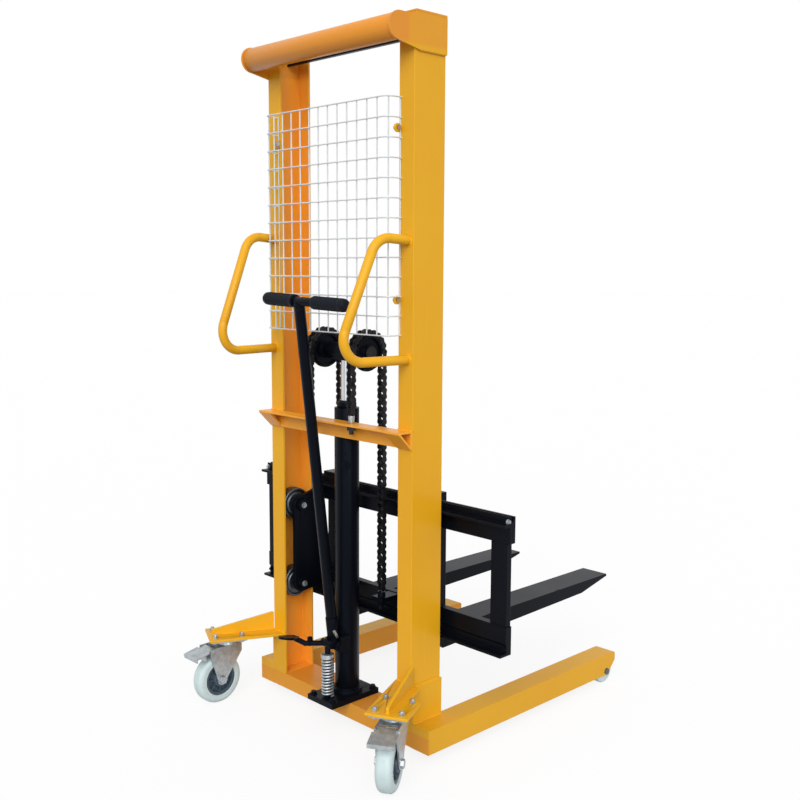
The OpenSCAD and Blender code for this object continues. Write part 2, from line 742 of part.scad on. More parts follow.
hook_back = 8;
hook_t = 7;
ledge = beam_gap - 6;

// The upper beam has a groove for the fork hooks and a ledge along its rear face
module carriage_upper_beam() color(black) side_on() translate([0, 0, -beam_len / 2])
  linear_extrude(beam_len) polygon([
    [beam_y, carriage_top - upper_beam_h], [beam_y + beam_t, carriage_top - upper_beam_h],
    [beam_y + beam_t, carriage_top], [beam_y + hook_back + hook_t + 1, carriage_top],
    [beam_y + hook_back + hook_t + 1, carriage_top - 14], [beam_y + hook_back, carriage_top - 14],
    [beam_y + hook_back, carriage_top], [beam_y + 4, carriage_top],
    [beam_y + 4, carriage_top - 21], [beam_y - ledge, carriage_top - 21],
    [beam_y - ledge, carriage_top - 29], [beam_y, carriage_top - 29]
  ]);

module carriage_lower_beam() color(black) side_on() translate([0, 0, -beam_len / 2 + 8])
  linear_extrude(beam_len - 16) polygon([
    [beam_y, carriage_z + 34], [beam_y + 4, carriage_z + 30], [beam_y + 4, carriage_z + 8],
    [beam_y - ledge, carriage_z + 8], [beam_y - ledge, carriage_z], [beam_y + beam_t, carriage_z], [beam_y + beam_t, carriage_z + lower_beam_h],
    [beam_y, carriage_z + lower_beam_h]
  ]);

module carriage_uprights() color(black) both_sides()
  translate([beam_len / 2 - 10 - upright_w, beam_y + 2, carriage_z + lower_beam_h])
    cube([upright_w, beam_t - 5, carriage_h - lower_beam_h - upper_beam_h]);

// A side plate carries two roller axles and reaches forward to both beams
module carriage_side_plates() color(black) both_sides() difference() {
  side_on() translate([0, 0, plate_x]) linear_extrude(carriage_plate_t) {
    low = roller_z[0];
    high = roller_z[1];
    for (z = roller_z) translate([roller_y, z]) circle(roller_boss);
    polygon([
      [roller_y - roller_boss, low], [roller_y, low], [roller_y, low - roller_boss],
      [beam_y, carriage_z + 34], [beam_y, carriage_top - 29], [roller_y, high + roller_boss],
      [roller_y, high], [roller_y - roller_boss, high]
    ]);
  }
  for (z = roller_z) x_bar(roller_y, z, roller_axle_r + fit, plate_x - eps, flange_in);
}

module roller_axles() color(steel) both_sides() for (z = roller_z) {
  x_bar(roller_y, z, roller_axle_r, plate_x - 10, roller_x + roller_w + 2);
  x_bar(roller_y, z, roller_axle_r + 5, plate_x + carriage_plate_t, roller_x - run);
  side_on() translate([roller_y, z, plate_x - 10]) cylinder(r = 21, h = 10, $fn = 6);
}

module carriage_roller(side, level) color(steel)
  translate([side * (roller_x + roller_w / 2), roller_y, roller_z[level]]) rotate([0, 90, 0])
    rotate_extrude() {
      w = roller_w / 2;
      in = roller_axle_r + fit;
      polygon([
        [in, -w], [34, -w], [36, -w + 4], [roller_r - 10, -w + 4], [roller_r - 8, -w], [roller_r - 3, -w],
        [roller_r, -w + 3], [roller_r, w - 3], [roller_r - 3, w], [roller_r - 8, w],
        [roller_r - 10, w - 4], [36, w - 4], [34, w], [in, w]
      ]);
    }

// Lugs on the lower beam with studs that take the ends of the lift chains
module chain_lugs() color(black) both_sides() {
  lug_z = carriage_z + lower_beam_h - 16;
  top = pulley_z - lift_links * chain_pitch - link_h / 2 - slip;
  difference() {
    translate([chain_x - 22, chain_front - 20, lug_z]) cube([44, beam_y - chain_front + 20, 14]);
    translate([chain_x, chain_front, lug_z - eps]) cylinder(r = 7, h = 14 + 2 * eps);
  }
  translate([chain_x, chain_front, lug_z - 26]) cylinder(r = 7, h = top - lug_z + 26);
  translate([chain_x, chain_front, lug_z - 14]) cylinder(r = 13, h = 14, $fn = 6);
  translate([chain_x, chain_front, lug_z + 14]) cylinder(r = 12, h = top - lug_z - 14);
}

// A fork: a shank that hooks over the upper beam and a blade that tapers to its tip
module fork(side) {
  top = carriage_top + 14;
  heel = blade_t + 18;
  tip = 8;
  taper = 147;
  bend = 20;
  front = fork_y + fork_t;
  color(black) translate([side * fork_x, 0, 0]) side_on() translate([0, 0, -fork_w / 2])
    linear_extrude(fork_w) difference() {
      polygon([
        [fork_y, carriage_top + 0.5], [fork_y - 2 - beam_t + hook_back + hook_t + 0.5, carriage_top + 0.5],
        [fork_y - 2 - beam_t + hook_back + hook_t + 0.5, carriage_top - 12],
        [fork_y - 2 - beam_t + hook_back + 0.5, carriage_top - 12],
        [fork_y - 2 - beam_t + hook_back + 0.5, top], [front, top], [front, blade_top + bend],
        [front + bend, blade_top], [front + fork_len, blade_top], [front + fork_len, blade_top - tip],
        [front + fork_len - taper, blade_top - blade_t], [front, blade_top - heel],
        [fork_y + 30, blade_top - heel], [fork_y, blade_top - heel + 30]
      ]);
      translate([front + bend, blade_top + bend]) circle(bend);
    }
}

// The rocker turns on the lever pin: an arm with the plunger roller, a socket
// for the handle and the curved arm of the foot pedal with its pad
module pump_rocker() {
  w = lug_in - 1;
  roller = [plunger_y, lever_z + lever_arm * sin(lever_rest)];
  color(black) difference() {
    union() {
      x_bar(lever_y, lever_z, 14.5, -w, w);
      x_bar(roller.x, roller.y, push_r, -w, w);
      translate([0, lever_y, lever_z]) rotate([handle_lean, 0, 0]) {
        translate([0, 0, 6]) cylinder(r = 14, h = 30);
        translate([0, 0, 34]) cylinder(d = handle_d + 4, h = 56);
      }
      side_on() translate([0, 0, -w]) linear_extrude(2 * w) polygon([
        [lever_y - 4, lever_z - 4], [lever_y - 4, lever_z + 14],
        [roller.x - 4, roller.y + push_r - 1], [roller.x, roller.y - push_r / 2]
      ]);
      pedal();
    }
    x_bar(lever_y, lever_z, 8 + fit, -half, half);
    translate([0, lever_y, lever_z]) rotate([handle_lean, 0, 0]) translate([0, 0, 44])
      cylinder(d = handle_d + 2 * fit, h = 80);
  }
}

module pedal() {
  root = [-12, plunger_y - 8, lever_z + 10];
  bow = [-52, plunger_y - 46, lever_z + 8];
  neck = [-76, plunger_y - 72, lever_z + 26];
  r = 8;
  bar_between(root, bow, r);
  translate(bow) sphere(r + eps);
  bar_between(bow, neck, r);
  translate(neck) sphere(r + eps);
  translate(neck) rotate([-14, 0, 22]) translate([0, 0, -1]) linear_extrude(7) {
    translate([0, -44]) circle(24);
    polygon([[-24, -44], [24, -44], [15, 8], [-15, 8]]);
  }
}

// Frame of the handle's cross bar: origin at the bar's middle
module on_bar() translate([0, lever_y, lever_z]) rotate([handle_lean, 0, 0])
  translate([0, 0, handle_len]) rotate([0, bar_tilt, 0]) translate([bar_shift, 0, 0]) children();

module pump_handle() color(black) {
  translate([0, lever_y, lever_z]) rotate([handle_lean, 0, 0]) difference() {
    translate([0, 0, 44]) cylinder(d = handle_d, h = handle_len - 44);
    translate([0, 0, 40]) cylinder(d = handle_d - 6, h = handle_len - 40 - bar_d);
  }
  on_bar() x_bar(0, 0, bar_d / 2, -bar_half, bar_half);
}

module handle_grips() color(black) on_bar() both_sides()
  side_on() translate([0, 0, bar_half + 3 - grip_len]) difference() {
    union() {
      cylinder(d = grip_d, h = grip_len - 6);
      translate([0, 0, grip_len - 6]) cylinder(d1 = grip_d, d2 = grip_d - 10, h = 6);
    }
    translate([0, 0, -eps]) cylinder(d = bar_d + 2 * fit, h = grip_len - 3 + eps);
  }

module pump_plunger() color(steel) translate([0, plunger_y, 0]) {
  translate([0, 0, pump_top + 36]) cylinder(r = 9, h = cap_z - pump_top - 36);
  translate([0, 0, seat_z]) cylinder(r = spring_d / 2 - 1, h = 6);
}

// The spring: one wire wound from the pump's foot up to the plunger's cap
spring_r = (spring_d - spring_wire) / 2;
spring_low = pump_top + spring_wire / 2 + slip;
spring_high = seat_z - spring_wire / 2 - slip;
spring_steps = 8;
spring_sides = 6;
spring_rings = spring_coils * spring_steps;
function spring_turn(i) = 360 * i / spring_steps;
function spring_point(i) = [
  spring_r * cos(spring_turn(i)), spring_r * sin(spring_turn(i)),
  spring_low + (spring_high - spring_low) * i / spring_rings
];
function spring_ring(i) = [
  for (k = [0:spring_sides - 1]) let (a = 360 * k / spring_sides, o = spring_wire / 2 * cos(a))
    spring_point(i) + [o * cos(spring_turn(i)), o * sin(spring_turn(i)), spring_wire / 2 * sin(a)]
];
spring_gap = min([for (i = [spring_steps:spring_rings])
  norm(spring_point(i) - spring_point(i - spring_steps)) - spring_wire]);
echo(str("Least gap of the spring to itself, mm: ", spring_gap));

module plunger_spring() {
  n = spring_sides;
  points = [for (i = [0:spring_rings]) each spring_ring(i)];
  walls = [
    for (i = [0:spring_rings - 1], k = [0:n - 1], t = [0, 1]) let (j = (k + 1) % n)
      t == 0 ? [i * n + k, i * n + n + k, i * n + j] : [i * n + j, i * n + n + k, i * n + n + j]
  ];
  first = [for (k = [1:n - 2]) [0, k, k + 1]];
  last = [for (k = [1:n - 2]) [spring_rings * n, spring_rings * n + k + 1, spring_rings * n + k]];
  color(zinc) translate([0, plunger_y, 0]) polyhedron(points, concat(walls, first, last));
}

placed() mast_columns();
placed() column_caps();
placed() head_cheeks();
placed() head_tube();
placed() front_tie_bar();
placed() base_frame();
placed() straddle_legs();
placed() column_side_plates();
placed() caster_brackets();
placed() caster_mount_plates();
placed() caster_bolts();
placed() angle_brace();
placed() grab_handle(-1, grab_top_left);  // grab_handle_left
placed() grab_handle(1, grab_top_right);  // grab_handle_right
placed() guard_mesh();
placed() guard_mesh_sides();
placed() guard_lugs();
placed() guard_bolts();
placed() pump_base();
placed() lift_cylinder();
placed() cylinder_head();
placed() lever_lugs();
placed() lever_pin();
placed() chain_anchors();
placed() chain_fixed_runs();
placed() load_wheel_axles();
placed() load_wheel(-1);  // load_wheel_left
placed() load_wheel(1);  // load_wheel_right
placed() caster_yoke(-1, left_turn);  // caster_yoke_left
placed() caster_tyre(-1, left_turn);  // caster_tyre_left
placed() caster_hub(-1, left_turn);  // caster_hub_left
placed() brake_pedal(-1, left_turn);  // brake_pedal_left
placed() caster_yoke(1, right_turn);  // caster_yoke_right
placed() caster_tyre(1, right_turn);  // caster_tyre_right
placed() caster_hub(1, right_turn);  // caster_hub_right
placed() brake_pedal(1, right_turn);  // brake_pedal_right
placed() lift_rod();
placed() crosshead();
placed() pulley_shaft();
placed() chain_wraps();
placed() chain_pulley(-1);  // pulley_left
placed() chain_pulley(1);  // pulley_right
placed() carriage_upper_beam();
placed() carriage_lower_beam();
placed() carriage_uprights();
placed() carriage_side_plates();
placed() roller_axles();
placed() chain_lugs();
placed() chain_lift_runs();
placed() carriage_roller(-1, 1);  // roller_upper_left
placed() carriage_roller(1, 1);  // roller_upper_right
placed() carriage_roller(-1, 0);  // roller_lower_left
placed() carriage_roller(1, 0);  // roller_lower_right
placed() fork(-1);  // fork_left
placed() fork(1);  // fork_right
placed() pump_rocker();
placed() pump_handle();
placed() handle_grips();
placed() pump_plunger();
placed() plunger_spring();
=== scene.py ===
import json
import math

import bpy
from mathutils import Matrix, Vector


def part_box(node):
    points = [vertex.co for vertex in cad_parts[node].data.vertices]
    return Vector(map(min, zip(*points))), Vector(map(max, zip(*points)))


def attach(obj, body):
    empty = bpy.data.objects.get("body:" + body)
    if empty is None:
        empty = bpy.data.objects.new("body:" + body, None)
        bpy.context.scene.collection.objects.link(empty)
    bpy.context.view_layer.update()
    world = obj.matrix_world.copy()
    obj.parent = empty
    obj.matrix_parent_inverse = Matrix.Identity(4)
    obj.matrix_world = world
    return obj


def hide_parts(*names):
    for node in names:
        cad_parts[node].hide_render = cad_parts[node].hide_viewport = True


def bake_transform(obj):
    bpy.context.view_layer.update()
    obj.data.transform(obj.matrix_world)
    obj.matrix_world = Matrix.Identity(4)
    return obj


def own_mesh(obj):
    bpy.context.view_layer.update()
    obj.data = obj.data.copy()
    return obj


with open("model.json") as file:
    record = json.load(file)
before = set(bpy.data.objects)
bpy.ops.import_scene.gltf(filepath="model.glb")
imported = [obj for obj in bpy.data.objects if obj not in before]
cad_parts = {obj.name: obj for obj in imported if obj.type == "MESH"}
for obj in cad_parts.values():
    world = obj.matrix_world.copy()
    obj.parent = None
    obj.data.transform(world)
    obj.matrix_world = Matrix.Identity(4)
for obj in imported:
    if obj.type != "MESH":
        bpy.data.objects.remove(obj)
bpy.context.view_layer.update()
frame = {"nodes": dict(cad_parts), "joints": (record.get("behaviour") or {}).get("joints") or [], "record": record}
nodes = frame["nodes"]
jointAt = {j["name"]: Vector(j["pos_m"]) for j in frame["joints"] if "pos_m" in j}
jointAxis = {j["name"]: Vector(j["axis"]) for j in frame["joints"]}
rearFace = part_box("mast_columns")[0].y  # the rear faces of the columns
print("frame loaded:", len(nodes), "nodes")


def at(x, y, z):  # millimetres from the mast's own zero to the row frame
    return Vector((x / 1000, rearFace + y / 1000, z / 1000))


# the camera, solved from the photograph's own lines
shot = {
    "heading": 46.05, "pitch": 7.18, "roll": 0.26,
    "focalPixels": 1029.07, "imageSide": 800, "sensor": 36,
    "place": (2326.58, -1980.95, 1395.06),
}


def placeCamera():
    a, p, r = (math.radians(shot[k]) for k in ("heading", "pitch", "roll"))
    ahead = Vector((-math.sin(a) * math.cos(p), math.cos(a) * math.cos(p), -math.sin(p)))
    right = Vector((math.cos(a), math.sin(a), 0))
    up = right.cross(ahead)
    side = right * math.cos(r) + up * math.sin(r)
    top = -right * math.sin(r) + up * math.cos(r)
    bpy.ops.object.camera_add()
    camera = bpy.context.object
    camera.data.sensor_width = shot["sensor"]
    camera.data.lens = shot["focalPixels"] / shot["imageSide"] * shot["sensor"]
    camera.data.clip_start = 0.05
    camera.data.clip_end = 200
    turn = Matrix((side, top, -ahead)).transposed().to_4x4()
    camera.matrix_world = Matrix.Translation(at(*shot["place"])) @ turn
    bpy.context.scene.camera = camera


placeCamera()
print("camera placed")


class Wire:  # a socket that can be added, multiplied and so on
    def __init__(self, tree, socket):
        self.tree = tree
        self.socket = socket

    def math(self, operation, first, second):
        node = self.tree.nodes.new("ShaderNodeMath")
        node.operation = operation
        for place, value in zip(node.inputs, (first, second)):
            plug(self.tree, place, value)
        return Wire(self.tree, node.outputs[0])

    def __add__(self, other):
        return self.math("ADD", self, other)

    def __sub__(self, other):
        return self.math("SUBTRACT", self, other)

    def __rsub__(self, other):
        return self.math("SUBTRACT", other, self)

    def __mul__(self, other):
        return self.math("MULTIPLY", self, other)

    __radd__ = __add__
    __rmul__ = __mul__


def plug(tree, place, value):
    if isinstance(value, Wire):
        tree.links.new(value.socket, place)
    else:
        place.default_value = value


class NodeMaker:  # fills a node tree, node by node
    def __init__(self, tree):
        self.tree = tree

    def make(self, kind, settings=None, inputs=None, output=0):
        node = self.tree.nodes.new(kind)
        for key, value in (settings or {}).items():
            setattr(node, key, value)
        for key, value in (inputs or {}).items():
            plug(self.tree, node.inputs[key], value)
        return Wire(self.tree, node.outputs[output])

    def seenDirectly(self):  # 1 for rays from the camera, off gloss and through glass
        rays = [self.make("ShaderNodeLightPath", output=f"Is {word} Ray")
                for word in ("Camera", "Glossy", "Transmission")]
        return self.make("ShaderNodeMath", {"operation": "MINIMUM"}, {0: rays[0] + rays[1] + rays[2], 1: 1.0})


class Finish(NodeMaker):  # one material on Object coordinates
    def __init__(self, name, **fixed):
        self.material = bpy.data.materials.new(name)
        self.material.use_nodes = True
        NodeMaker.__init__(self, self.material.node_tree)
        self.shader = self.tree.nodes["Principled BSDF"]
        self.where = self.make("ShaderNodeTexCoord", output="Object")
        for socket, value in fixed.items():
            self.feed(socket.replace("_", " "), value)

    def feed(self, socket, value):
        plug(self.tree, self.shader.inputs[socket], value)

    def noise(self, scale, detail=2, stretch=(1, 1, 1)):
        spot = self.make("ShaderNodeMapping", inputs={"Vector": self.where, "Scale": stretch})
        return self.make("ShaderNodeTexNoise", inputs={"Vector": spot, "Scale": scale, "Detail": detail})

    def between(self, value, low, high):  # 0 below low, 1 above high
        return self.make("ShaderNodeMapRange", {"clamp": True},
                         {"Value": value, "From Min": low, "From Max": high}, "Result")

    def mix(self, share, first, second):
        return self.make("ShaderNodeMix", {"data_type": "RGBA"},
                         {"Factor": share, 6: first, 7: second}, 2)

    def bump(self, height, strength, distance):
        self.feed("Normal", self.make("ShaderNodeBump", inputs={
            "Height": height, "Strength": strength, "Distance": distance}))

    def spot(self, axis):  # one coordinate of the place on the object
        return self.make("ShaderNodeSeparateXYZ", inputs={"Vector": self.where}, output=axis)


def rgb(r, g, b):
    return (r, g, b, 1)


paint = {
    "yellow": rgb(0.80, 0.412, 0.012), "yellowDeep": rgb(0.77, 0.375, 0.010),
    "yellowPale": rgb(0.82, 0.46, 0.04), "yellowDusty": rgb(0.55, 0.33, 0.09),
    # the next two are painted light: a deeper orange painted for shade, and a warmer orange painted for light
    # bounced inside hollows
    "shadeAmber": rgb(0.75, 0.28, 0.026), "inside": rgb(0.92, 0.375, 0.035),
    "black": rgb(0.0026, 0.0036, 0.0062), "blackDusty": rgb(0.0075, 0.0085, 0.0115),
    "blackSheen": rgb(0.42, 0.52, 0.70),
    "peelScale": 420, "peelDepth": 0.0004,
}
# metres: where painted light and shade tint the yellow: warm bounced light inside the columns, the legs and the
# brace, painted shade on the head and head tube, and a deeper orange on the base
paintedShadePlaces = {
    "columnIn": 0.2640, "columnOut": 0.3185, "rear": 0.004, "front": 0.116,
    "baseTop": 0.080, "baseHalf": 0.262, "baseShare": 0.7,
    "headLow": 1.985, "headShare": 0.55, "tubeFront": -0.022, "tubeShare": 0.45,
    "braceLow": 0.898, "braceTop": 0.9535, "braceShare": 0.8,
    "legIn": 0.322, "legTop": 0.104, "legRear": 0.123,
}


def within(f, value, low, high):  # 1 between two sharp limits
    return f.between(value, low - 0.0005, low + 0.0005) * (1 - f.between(value, high - 0.0005, high + 0.0005))


def makeYellow():
    f = Finish("yellowPaint", Specular_IOR_Level=0.22, Coat_Roughness=0.14)
    p = paintedShadePlaces
    drift = f.noise(2.2, 3)
    scuff = f.between(f.noise(26, 4, (1, 1, 0.25)), 0.66, 0.76)
    x, y, z = (f.spot(axis) for axis in "XYZ")
    across = f.make("ShaderNodeMath", {"operation": "ABSOLUTE"}, {0: x})
    low = 1 - f.between(z, 0.02, 0.20)  # floor dust on the legs and the base
    ahead = y - rearFace  # from the rear faces of the columns towards the forks
    hair = 0.001
    channel = within(f, across, p["columnIn"], p["columnOut"]) * within(f, ahead, p["rear"], p["front"])
    top = within(f, across, 0, p["baseHalf"]) * within(f, z, p["baseTop"] - hair, p["baseTop"] + hair)
    base = 1 - f.between(z, p["baseTop"] - 2 * hair, p["baseTop"] - hair)
    base = base * (1 - f.between(ahead, p["rear"], p["rear"] + 2 * hair))
    head = f.between(z, p["headLow"], p["headLow"] + 10 * hair)
    tube = head * (1 - f.between(ahead, p["tubeFront"] - 10 * hair, p["tubeFront"]))
    brace = within(f, z, p["braceLow"], p["braceTop"]) * (1 - f.between(ahead, -hair, 0))
    leg = within(f, across, p["legIn"] - hair, p["legIn"] + hair)
    leg = leg * f.between(ahead, p["legRear"] - hair, p["legRear"])
    leg = leg * (1 - f.between(z, p["legTop"], p["legTop"] + hair))
    # painted bounced light: the channels, the legs' inner faces and the brace get a warmer orange where light
    # bounces in the hollows
    inside = channel + leg + brace * p["braceShare"]
    # painted shade: a deeper orange on the head and the head tube, and the same deeper orange on the base's top
    # face and lower rear faces
    shadeAmber = top + base * p["baseShare"] + head * p["headShare"] + tube * p["tubeShare"]
    tone = f.mix(f.between(drift, 0.35, 0.7), paint["yellowDeep"], paint["yellow"])
    tone = f.mix(scuff * 0.3, tone, paint["yellowPale"])
    tone = f.mix(low * 0.08, tone, paint["yellowDusty"])
    # mixes in the painted bounced light of the hollows
    tone = f.mix(inside, tone, paint["inside"])
    # mixes in the painted shade on the head and head tube, and the deeper orange on the base
    f.feed("Base Color", f.mix(shadeAmber, tone, paint["shadeAmber"]))
    f.feed("Roughness", 0.32 + drift * 0.10 + scuff * 0.16 + low * 0.08)
    f.feed("Coat Weight", 0.10 - scuff * 0.07)
    f.bump(f.noise(paint["peelScale"], 1), 0.10, paint["peelDepth"])
    return f.material


def makeBlack():
    f = Finish("blackPaint", Specular_IOR_Level=0.1, Specular_Tint=paint["blackSheen"])
    drift = f.noise(5, 3)
    scuff = f.between(f.noise(34, 5, (1, 0.35, 1)), 0.64, 0.75)
    f.feed("Base Color", f.mix(scuff * 0.6 + drift * 0.2, paint["black"], paint["blackDusty"]))
    f.feed("Roughness", 0.26 + drift * 0.14 + scuff * 0.22)
    f.bump(f.noise(paint["peelScale"], 1), 0.10, paint["peelDepth"])
    return f.material


def makeChain():
    f = Finish("chainSteel", Specular_IOR_Level=0.3)
    oil = f.noise(60, 3)
    f.feed("Base Color", f.mix(f.between(oil, 0.35, 0.7), rgb(0.006, 0.006, 0.008), rgb(0.030, 0.031, 0.034)))
    f.feed("Metallic", 0.25 + oil * 0.4)
    f.feed("Roughness", 0.30 + oil * 0.25)
    return f.material


def zincTone(f):
    spangle = f.noise(70, 2)
    stain = f.between(f.noise(18, 4), 0.5, 0.75)
    tone = f.mix(f.between(spangle, 0.3, 0.7), rgb(0.36, 0.40, 0.43), rgb(0.52, 0.56, 0.58))
    tone = f.mix(stain * 0.4, tone, rgb(0.20, 0.19, 0.18))
    return tone, 0.28 + spangle * 0.16 + stain * 0.12


def makeZinc():
    f = Finish("zincPlate", Metallic=0.85)
    tone, rough = zincTone(f)
    f.feed("Base Color", tone)
    f.feed("Roughness", rough)
    f.bump(f.noise(300, 2), 0.08, 0.0003)
    return f.material


def makeAnchorZinc():  # the chain anchors: plated above the brace, black nut and thread below it
    f = Finish("anchorZinc")
    tone, rough = zincTone(f)
    above = f.between(f.spot("Z"), 0.949, 0.951)
    f.feed("Base Color", f.mix(above, paint["black"], tone))
    f.feed("Metallic", above * 0.85)
    f.feed("Roughness", rough)
    f.bump(f.make("ShaderNodeTexWave", {"bands_direction": "Z"},
                  {"Vector": f.where, "Scale": 180}, "Fac"), 0.3, 0.0006)
    return f.material


def makeSteel():
    f = Finish("turnedSteel", Metallic=1.0)
    rings = f.noise(90, 2, (6, 1, 1))
    f.feed("Base Color", f.mix(rings, rgb(0.085, 0.10, 0.115), rgb(0.17, 0.19, 0.21)))
    f.feed("Roughness", 0.36 + rings * 0.16)
    return f.material


def makeChrome():
    f = Finish("chromeRod", Metallic=1.0)
    film = f.noise(40, 3, (1, 1, 0.2))
    f.feed("Base Color", f.mix(film, rgb(0.66, 0.69, 0.72), rgb(0.80, 0.82, 0.84)))
    f.feed("Roughness", 0.24 + film * 0.10)
    return f.material


def makeWire():
    f = Finish("whiteWire", Coat_Roughness=0.2)
    drift = f.noise(30, 3)
    f.feed("Base Color", f.mix(f.between(drift, 0.3, 0.7), rgb(0.60, 0.65, 0.66), rgb(0.70, 0.74, 0.75)))
    f.feed("Roughness", 0.28 + drift * 0.16)
    f.feed("Coat Weight", 0.1 + drift * 0.15)
    return f.material


def makeNylon():
    f = Finish("whiteNylon", Subsurface_Weight=0.05, Subsurface_Radius=(0.01, 0.01, 0.01))
    grime = f.between(f.noise(38, 4), 0.48, 0.74)
    drift = f.noise(9, 2)
    tone = f.mix(drift, rgb(0.54, 0.66, 0.67), rgb(0.62, 0.73, 0.74))
    f.feed("Base Color", f.mix(grime * 0.22, tone, rgb(0.40, 0.44, 0.44)))
    f.feed("Roughness", 0.38 + grime * 0.2)
    f.bump(f.noise(240, 2), 0.10, 0.0004)
    return f.material


def makeSlate():
    f = Finish("slateHub", Specular_IOR_Level=0.35)
    grain = f.noise(150, 3)
    f.feed("Base Color", f.mix(grain, rgb(0.036, 0.058, 0.082), rgb(0.066, 0.098, 0.130)))
    f.feed("Roughness", 0.40 + grain * 0.15)
    f.bump(grain, 0.15, 0.0004)
    return f.material


def makeRubber():
    f = Finish("gripRubber", Specular_IOR_Level=0.22, Specular_Tint=paint["blackSheen"])
    grain = f.noise(500, 3)
    bloom = f.noise(14, 2)
    f.feed("Base Color", f.mix(bloom, rgb(0.004, 0.005, 0.008), rgb(0.009, 0.010, 0.014)))
    f.feed("Roughness", 0.48 + bloom * 0.2)
    f.bump(grain, 0.25, 0.0004)
    return f.material


finishes = {
    "yellow_paint": makeYellow(), "black_paint": makeBlack(), "chain_steel": makeChain(),
    "zinc_steel": makeZinc(), "bright_steel": makeSteel(), "chrome_rod": makeChrome(),
    "white_wire": makeWire(), "white_nylon": makeNylon(), "slate_plastic": makeSlate(),
    "black_rubber": makeRubber(),
}
ownFinish = {"chain_anchors": makeAnchorZinc(), "pump_plunger": finishes["black_paint"],
             "lever_pin": finishes["black_paint"]}  # nodes that differ from the rest of their slot
for row in frame["record"]["subparts"]:
    slots = nodes[row["node"]].data.materials
    slots.clear()
    slots.append(ownFinish.get(row["node"], finishes[row["material_slot"]]))
print("finishes made:", len(finishes) + len(ownFinish))


def deselect():
    if bpy.context.object and bpy.context.object.mode != "OBJECT":
        bpy.ops.object.mode_set(mode="OBJECT")
    bpy.ops.object.select_all(action="DESELECT")


def choose(obj):
    deselect()
    obj.select_set(True)
    bpy.context.view_layer.objects.active = obj


def pick(obj, test, kind="FACE"):  # selects faces, edges or points in edit mode
    bpy.ops.object.mode_set(mode="EDIT")
    bpy.ops.mesh.select_mode(type=kind)
    bpy.ops.mesh.select_all(action="DESELECT")
    bpy.ops.object.mode_set(mode="OBJECT")
    parts = {"FACE": obj.data.polygons, "EDGE": obj.data.edges, "VERT": obj.data.vertices}[kind]
    for part in parts:
        part.select = test(part)
    bpy.ops.object.mode_set(mode="EDIT")


def closeUp(obj):  # merges doubles, closes open ends and turns all faces outwards
    bpy.ops.object.mode_set(mode="EDIT")
    bpy.ops.mesh.select_all(action="SELECT")
    bpy.ops.mesh.remove_doubles(threshold=0.000005)
    bpy.ops.mesh.fill_holes(sides=0)
    bpy.ops.mesh.select_all(action="SELECT")
    bpy.ops.mesh.normals_make_consistent(inside=False)
    bpy.ops.object.mode_set(mode="OBJECT")


def sweep(name, radius, start, heading, moves, sides=12):
    # a ring is drawn along by extrude, spin and resize, then closed at both ends
    deselect()
    spot, way = Vector(start), Vector(heading).normalized()
    tilt = way.to_track_quat("Z", "Y").to_euler()
    bpy.ops.mesh.primitive_circle_add(vertices=sides, radius=radius, location=spot, rotation=tilt)
    obj = bpy.context.object
    obj.name = name
    bpy.ops.object.transform_apply(location=True, rotation=True, scale=True)
    bpy.ops.object.mode_set(mode="EDIT")
    bpy.ops.mesh.select_all(action="SELECT")
    for move in moves:
        if move[0] == "go":
            step = way * move[1]
            bpy.ops.mesh.extrude_region_move(TRANSFORM_OT_translate={"value": step})
            spot = spot + step
        elif move[0] == "size":
            grow = (move[1],) * 3
            bpy.ops.transform.resize(value=grow, center_override=spot)
        else:  # turn: degrees, axis, bend radius, steps
            angle, axis, bend, steps = math.radians(move[1]), Vector(move[2]), move[3], move[4]
            hub = spot + axis.cross(way).normalized() * bend
            # the spin tool turns the other way from a rotation matrix
            bpy.ops.mesh.spin(steps=steps, angle=-angle, center=hub, axis=axis)
            turn = Matrix.Rotation(angle, 3, axis)
            spot = hub + turn @ (spot - hub)
            way = turn @ way
    closeUp(obj)
    return obj


def block(name, middle, size, turn, edge):  # a box with rounded edges, turned by a matrix
    deselect()
    bpy.ops.mesh.primitive_cube_add(size=1)
    obj = bpy.context.object
    obj.name = name
    obj.scale = size
    bpy.ops.object.transform_apply(location=True, rotation=True, scale=True)
    bpy.ops.object.mode_set(mode="EDIT")
    bpy.ops.mesh.select_all(action="SELECT")
    bpy.ops.mesh.bevel(affect="EDGES", offset=edge, segments=2)
    bpy.ops.object.mode_set(mode="OBJECT")
    obj.data.transform(Matrix.Translation(middle) @ turn)
    return obj


def copyOf(obj, matrix):
    made = obj.copy()
    made.data = obj.data.copy()
    made.data.transform(matrix)
    bpy.context.scene.collection.objects.link(made)
    return made


def joined(name, parts):
    deselect()
    for part in parts:
        part.select_set(True)
    bpy.context.view_layer.objects.active = parts[0]
    if len(parts) > 1:
        bpy.ops.object.join()
    parts[0].name = name
    return parts[0]


def dress(obj, slot, smooth=35):  # bakes the transform and smooths the shading of a new piece, and gives it the finish of the named slot
    choose(obj)
    bpy.ops.object.transform_apply(location=True, rotation=True, scale=True)
    bpy.ops.object.shade_smooth_by_angle(angle=math.radians(smooth))
    obj.data.materials.clear()
    obj.data.materials.append(finishes[slot])
    return obj


def fitted(name, parts, slot, body, smooth=35):  # joins, dresses and seats a new piece
    made = dress(joined(name, parts), slot, smooth)
    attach(made, body)
    return made


guard = {"wire": 2.0, "rows": 12, "gaps": 13, "pitch": 41.7, "bend": 25, "bendSteps": 8, "sides": 8}


def hoopSpot(along, half, deep):  # a place on a hoop and its inward direction, from the way along the hoop
    bend = guard["bend"]
    flat = half - bend
    past = abs(along) - flat
    if past <= 0:
        return along, -deep, (0, 1)
    turn = min(past / bend, math.pi / 2)
    side = math.copysign(1, along)
    x = flat + bend * math.sin(turn)
    y = -deep + bend * (1 - math.cos(turn)) + max(past - bend * math.pi / 2, 0)
    return side * x, y, (-side * math.sin(turn), math.cos(turn))


